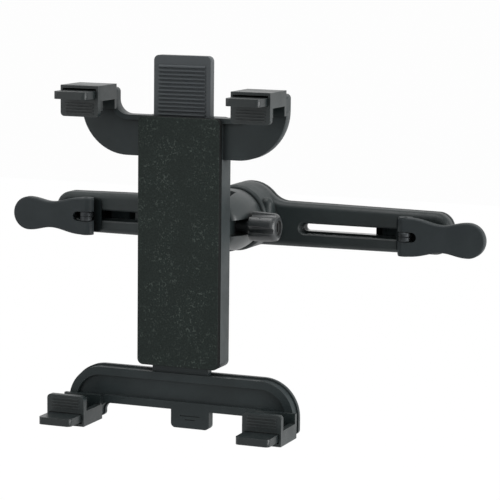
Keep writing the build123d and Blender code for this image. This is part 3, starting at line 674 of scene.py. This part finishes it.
# self tapping screws: pan head, cross recess, thread and point
screwShape = {
    "headRadius": 0.0025,
    "headHeight": 0.0017,
    "underShare": 0.94,  # flat under the head, of its radius
    "rimLow": 0.10,  # upright band of the rim, of the head's height
    "rimHigh": 0.45,
    "domeFlat": 0.30,
    "domeAngles": (15, 35, 55, 75),
    "crest": 0.00125,
    "root": 0.00098,
    "pitch": 0.0009,
    "threadTop": -0.0004,
    "threadSink": 0.96,
    "pointRoots": 3,  # length of the point, in root radii
    "tipRadius": 0.0002,
    "recessReach": 0.00155,
    "recessWidth": 0.0005,
    "recessDepth": 0.0011,
    "recessTaper": 0.45,
    "recessLift": 0.0002,
    "firstTwist": 17,
    "nextTwist": 41,
}
screwSets = {
    "panel_screws": {
        "body": "holder",
        "seat": -0.1048,
        "tip": -0.1173,
        "places": [(side * 0.0212, z) for side in (-1, 1) for z in (-0.0565, 0.0016, 0.0377)],
    },
    "upper_claw_screws": {
        "body": "holder",
        "seat": -0.1113,
        "tip": -0.1173,
        "places": [(-0.0506, 0.0782), (0.0506, 0.0782)],
    },
    "lower_claw_screws": {
        "body": "bracket",
        "seat": -0.1113,
        "tip": -0.1173,
        "places": [(-0.0592, -0.0924), (0.0592, -0.0924)],
    },
    "bar_screws": {
        "body": "bar",
        "seat": -0.0082,
        "tip": -0.0152,
        "places": [(-0.1195, 0), (-0.028, 0), (0.028, 0), (0.1195, 0)],
    },
}


def headProfile(shape):
    radius, height = shape["headRadius"], shape["headHeight"]
    flat, rim = shape["domeFlat"], shape["rimHigh"]
    profile = [(0, 0), (radius * shape["underShare"], 0)]
    profile += [(radius, height * shape["rimLow"]), (radius, height * rim)]
    for angle in map(math.radians, shape["domeAngles"]):
        outward = flat + (1 - flat) * math.cos(angle)
        upward = rim + (1 - rim) * math.sin(angle)
        profile.append((radius * outward, height * upward))
    return [*profile, (0, height)]


def recessMesh(shape):
    size = (2 * shape["recessReach"], shape["recessWidth"], 2 * shape["recessDepth"], 1)
    lift = Matrix.Translation((0, 0, shape["headHeight"] + shape["recessLift"]))
    bm = bmesh.new()
    for turn in (0, 90):
        blade = bmesh.ops.create_cube(bm, size=1)["verts"]
        bmesh.ops.transform(bm, matrix=Matrix.Diagonal(size), verts=blade)
        for vert in blade:
            if vert.co.z < 0:
                vert.co.x *= shape["recessTaper"]
        spin = Matrix.Rotation(math.radians(turn), 4, "Z")
        bmesh.ops.transform(bm, matrix=lift @ spin, verts=blade)
    return meshFrom("crossRecess", bm)


def screwMesh(shape, length):
    root = shape["root"]
    point = shape["pointRoots"] * root
    head = carve(turnedMesh("screwHead", headProfile(shape)), recessMesh(shape))
    bm = bmesh.new()
    bm.from_mesh(head)
    turnProfile(bm, [(root, 0), (root, point - length), (shape["tipRadius"], -length), (0, -length)])
    threadRoot = root * shape["threadSink"]
    windThread(bm, shape["crest"], threadRoot, shape["pitch"], shape["threadTop"], length - point)
    return meshFrom("tappingScrew", bm)


for node, group in screwSets.items():
    mesh = screwMesh(screwShape, group["seat"] - group["tip"])
    copies = []
    for index, (x, z) in enumerate(group["places"]):
        twist = screwShape["firstTwist"] + screwShape["nextTwist"] * index
        copies.append((mesh, facingBack(x, group["seat"], z, twist)))
    addPiece(node + "_turned", copies, group["body"], "steel", [node])
print("screws made")


# eye bolts of the cam levers, with a chamfered nut behind the jaw
eyeBolt = {
    "x": 0.102,
    "eyeY": -0.0255,
    "endY": 0.0105,
    "eyeRadius": 0.0036,
    "eyeHalf": 0.00265,
    "boreRadius": 0.00155,
    "groove": 0.0003,
    "chamfer": 0.0003,
    "shank": 0.0020,
    "shankSink": 0.75,  # where the shank enters the eye, of its radius
    "root": 0.00168,
    "pitch": 0.0007,
    "threaded": 0.016,
    "threadSink": 0.97,
    "threadEnd": 0.0003,
    "tip": 0.0002,
}
hexNut = {
    "seatY": 0.0067,
    "height": 0.0032,
    "acrossFlats": 0.0070,
    "boreRadius": 0.00202,
    "chamfer": 0.0004,
    "faceShare": 0.97,  # round face left by the chamfer, of the flats
    "spare": 0.0003,  # how far the cutting shapes stand clear
    "skin": 0.00001,
    "through": 0.0001,
    "twist": 30,
}


def eyeMesh(shape):
    half, radius, groove = shape["eyeHalf"], shape["eyeRadius"], shape["groove"]
    bore, chamfer = shape["boreRadius"], shape["chamfer"]
    side = [
        (bore, -half),
        (radius - chamfer, -half),
        (radius, chamfer - half),
        (radius, -groove),
        (radius - groove, 0),
        (radius, groove),
        (radius, half - chamfer),
        (radius - chamfer, half),
        (bore, half),
        (bore, -half),
    ]
    return turnedMesh("boltEye", side)


def shankMesh(shape):
    root, shank, tip, threaded = (shape[key] for key in ("root", "shank", "tip", "threaded"))
    length = shape["endY"] - shape["eyeY"] - shape["shankSink"] * shape["eyeRadius"]
    profile = [(0, 0), (root - tip, 0), (root, -tip), (root, -threaded)]
    profile += [(shank, -threaded - shape["threadEnd"]), (shank, -length), (0, -length)]
    bm = bmesh.new()
    turnProfile(bm, profile)
    windThread(bm, shank, root * shape["threadSink"], shape["pitch"], -tip, threaded)
    return meshFrom("boltShank", bm)


def nutMesh(shape):
    height, chamfer, bore = shape["height"], shape["chamfer"], shape["boreRadius"]
    skin, through = shape["skin"], shape["through"]
    corner = shape["acrossFlats"] / math.sqrt(3)
    face = shape["acrossFlats"] / 2 * shape["faceShare"]
    outer = corner + shape["spare"]
    hexagon = [(0, 0), (corner, 0), (corner, height), (0, height)]
    barrel = [(0, -skin), (face, -skin), (outer, chamfer * 2), (outer, height - chamfer * 2)]
    barrel += [(face, height + skin), (0, height + skin)]
    funnel = [(0, -through), (bore + chamfer, -through), (bore, chamfer), (bore, height - chamfer)]
    funnel += [(bore + chamfer, height + through), (0, height + through)]
    blank = turnedMesh("nutBlank", hexagon, 6)
    nut = carve(blank, turnedMesh("nutBarrel", barrel, 48), "INTERSECT")
    return carve(nut, turnedMesh("nutBore", funnel, 32))


eye, shank, nut = eyeMesh(eyeBolt), shankMesh(eyeBolt), nutMesh(hexNut)
for name, side in (("left", -1), ("right", 1)):
    x = side * eyeBolt["x"]
    copies = [(eye, Matrix.Translation((x, eyeBolt["eyeY"], 0)))]
    copies.append((shank, facingBack(x, eyeBolt["endY"], 0)))
    addPiece(name + "_eye_bolt_threaded", copies, name + "_jaw", "black_steel", [name + "_eye_bolt"])
    copies = [(nut, facingBack(x, hexNut["seatY"], 0, hexNut["twist"]))]
    addPiece(name + "_jaw_nut_chamfered", copies, name + "_jaw", "steel", [name + "_jaw_nut"])
print("eye bolts and nuts made")


# hub cap behind the swivel, with a moulded ring and the mark of the gate in its middle
# each step is how far outward of the edge, ring or gate, and how far below the top
hubCap = {
    "centre": (0, -0.0075, 0.006),
    "thickness": 0.0015,
    "edge": 0.0132,
    "edgeSteps": [(0, 0.0015), (0, 0.0004), (-0.0004, 0.00005)],
    "ring": 0.0092,
    "ringSteps": [(0.0007, 0.00005), (0.0004, 0.0004), (0, 0.0004), (-0.0003, 0)],
    "gate": 0.0011,
    "gateSteps": [(0.0012, 0), (0.0008, 0.0003), (0, 0.0003), (-0.0003, 0.0001)],
    "segments": 72,
}


def capMesh(shape):
    profile = [(0, 0)]
    for mark in ("edge", "ring", "gate"):
        for outward, below in shape[mark + "Steps"]:
            profile.append((shape[mark] + outward, shape["thickness"] - below))
    profile.append((0, profile[-1][1]))
    return turnedMesh("capBlank", profile, shape["segments"])


copies = [(capMesh(hubCap), facingBack(*hubCap["centre"]))]
addPiece("hub_cap_ringed", copies, "bar", "bar_plastic", ["hub_cap"])


# faint rings that the ejector pins leave on the backs of the mouldings
ejectorRidge = [
    (-0.00030, -0.00005),
    (-0.00016, 0.00007),
    (0.00016, 0.00007),
    (0.00030, -0.00005),
    (-0.00030, -0.00005),
]
ejectorMarks = {
    "holder": {
        "slot": "holder_plastic",
        "face": -0.1008,
        "radius": 0.0024,
        "places": [(x, z) for x in (-0.013, 0.013) for z in (-0.057, -0.034, 0.043, 0.061)],
    },
    "bracket": {
        "slot": "holder_plastic",
        "face": -0.1073,
        "radius": 0.0022,
        "places": [(x, -0.083) for x in (-0.048, -0.024, 0, 0.024, 0.048)],
    },
}
for body, group in ejectorMarks.items():
    ridge = [(group["radius"] + outward, height) for outward, height in ejectorRidge]
    ring = turnedMesh("ejectorRing", ridge, 40)
    copies = [(ring, facingBack(x, group["face"], z)) for x, z in group["places"]]
    addPiece(body + "_ejector_marks", copies, body, group["slot"], [])
print("cap and moulding marks made")


# moulded edges get a small radius, by the ending of the piece's name
edgeRadius = {
    "headrest_bar": 0.0004,
    "bar_cover": 0.0003,
    "swivel_neck": 0.0004,
    "tilt_knob": 0.0004,
    "holder_housing": 0.0004,
    "front_panel": 0.0003,
    "lower_bracket": 0.00025,
    "claw": 0.0003,
    "slider": 0.0005,
    "clamp_saddle": 0.0003,
    "clamp_jaw": 0.0006,
    "cam_lever": 0.0004,
    "tilt_bolt": 0.0003,
}
edgeFinish = {"weld": 0.000002, "segments": 2, "sharpAngle": 38}


def softenEdges(obj, radius, finish):
    weld = obj.modifiers.new("weld", "WELD")
    weld.merge_threshold = finish["weld"]
    bevel = obj.modifiers.new("edge radius", "BEVEL")
    bevel.width = radius
    bevel.segments = finish["segments"]
    bevel.limit_method = "ANGLE"
    bevel.angle_limit = math.radians(finish["sharpAngle"])
    bevel.harden_normals = True
    bevel.miter_outer = "MITER_ARC"


for name, obj in nodes.items():
    for ending, radius in edgeRadius.items():
        if name.endswith(ending):
            softenEdges(obj, radius, edgeFinish)
print("edges softened")


# how much of the pale background a ray sees: the eye, glass and gloss see all of it
def seenRays(tree):
    path = tree.nodes.new("ShaderNodeLightPath").outputs
    seen = mathNode(tree, "MAXIMUM", path["Is Camera Ray"], path["Is Transmission Ray"])
    return mathNode(tree, "MAXIMUM", seen, path["Is Glossy Ray"])


# plain pale floor, far enough below that the part seems to float in light
floorSheet = {
    "left": -4.0,
    "right": 4.0,
    "front": -0.9,
    "back": 5.0,
    "height": -0.62,
    "colour": (0.86, 0.86, 0.86),
    "seen": 0.96,  # the rest shows the part's shadow
}


def addFloor(sheet):
    mesh = bpy.data.meshes.new("floor")
    left, right, front, back = (sheet[side] for side in ("left", "right", "front", "back"))
    outline = [(left, front), (right, front), (right, back), (left, back)]
    mesh.from_pydata([(x, y, sheet["height"]) for x, y in outline], [], [(0, 1, 2, 3)])
    floor = bpy.data.objects.new("floor", mesh)
    scene.collection.objects.link(floor)
    material = bpy.data.materials.new("floor")
    material.use_nodes = True
    tree = material.node_tree
    tree.nodes.clear()
    out = tree.nodes.new("ShaderNodeOutputMaterial")
    matt = addNode(tree, "ShaderNodeBsdfDiffuse", None, {"Color": (*sheet["colour"], 1)})
    glow = addNode(tree, "ShaderNodeEmission", None, {"Color": (1, 1, 1, 1), "Strength": 1.0})
    blend = tree.nodes.new("ShaderNodeMixShader")
    seen = mathNode(tree, "MULTIPLY", seenRays(tree), sheet["seen"])
    tree.links.new(seen, blend.inputs["Fac"])
    tree.links.new(matt.outputs[0], blend.inputs[1])
    tree.links.new(glow.outputs[0], blend.inputs[2])
    tree.links.new(blend.outputs[0], out.inputs["Surface"])
    mesh.materials.append(material)


addFloor(floorSheet)


# soft studio: pale room, brighter behind and above, with three soft boxes
room = {
    "front": 0.18,
    "back": 0.90,
    "depthRange": (-0.9, 0.9),
    "above": 0.75,
    "heightRange": (-0.1, 0.9),
    "seen": 0.985,
}
softBoxes = {
    "top": {"spot": (-0.1, -0.35, 1.25), "aim": (0, -0.06, 0), "size": 0.9, "power": 12.0},
    "right": {"spot": (1.35, -0.20, 0.02), "aim": (0, -0.05, 0), "size": 1.0, "power": 22.0},
    "left": {"spot": (-0.95, -1.2, 0.45), "aim": (0, -0.1, 0), "size": 0.9, "power": 5.0},
}


def addRoom(levels):
    world = bpy.data.worlds.new("room")
    world.use_nodes = True
    tree = world.node_tree
    background = tree.nodes["Background"]
    background.inputs["Color"].default_value = (1, 1, 1, 1)
    way = splitVector(tree, addNode(tree, "ShaderNodeTexCoord").outputs["Generated"])
    level = remap(tree, way["Y"], *levels["depthRange"], levels["front"], levels["back"])
    lift = remap(tree, way["Z"], *levels["heightRange"], 0.0, levels["above"])
    mix = addNode(tree, "ShaderNodeMix", {"data_type": "FLOAT"})
    tree.links.new(seenRays(tree), mix.inputs["Factor"])
    tree.links.new(mathNode(tree, "ADD", level, lift), mix.inputs[2])
    mix.inputs[3].default_value = levels["seen"]
    tree.links.new(mix.outputs[0], background.inputs["Strength"])
    scene.world = world


def addSoftBox(name, place):
    data = bpy.data.lights.new(name + "SoftBox", "AREA")
    data.shape = "SQUARE"
    data.size = place["size"]
    data.energy = place["power"]
    lamp = bpy.data.objects.new(name + "SoftBox", data)
    lamp.location = place["spot"]
    aim = Vector(place["aim"]) - Vector(place["spot"])
    lamp.rotation_euler = aim.to_track_quat("-Z", "Y").to_euler()
    scene.collection.objects.link(lamp)


addRoom(room)
for name, place in softBoxes.items():
    addSoftBox(name, place)
print("room lit")


# camera: one long lens in front of the bar, a little to its right and above
cameraPlace = {
    "target": Vector((0, -0.018, 0)),
    "azimuth": 21.7,
    "elevation": 8.27,
    "roll": 0.65,
    "distance": 1.313,
    "shift": (0.0028, -0.0151),  # metres to the right and up
    "lens": 158.4,
    "sensor": 36,
    "near": 0.05,
}


def addCamera(place):
    theta, phi, roll = (math.radians(place[key]) for key in ("azimuth", "elevation", "roll"))
    level = math.cos(phi)
    back = Vector((math.sin(theta) * level, -math.cos(theta) * level, math.sin(phi)))
    right = Vector((math.cos(theta), math.sin(theta), 0))
    up = back.cross(right)
    across, along = place["shift"]
    spot = place["target"] + back * place["distance"] + right * across + up * along
    turnedRight = right * math.cos(roll) + up * math.sin(roll)
    turnedUp = up * math.cos(roll) - right * math.sin(roll)
    data = bpy.data.cameras.new("camera")
    data.lens = place["lens"]
    data.sensor_width = place["sensor"]
    data.clip_start = place["near"]
    camera = bpy.data.objects.new("camera", data)
    turn = Matrix((turnedRight, turnedUp, back)).transposed().to_4x4()
    camera.matrix_world = Matrix.Translation(spot) @ turn
    scene.collection.objects.link(camera)
    scene.camera = camera


addCamera(cameraPlace)
scene.view_settings.view_transform = "Standard"
print("camera set")
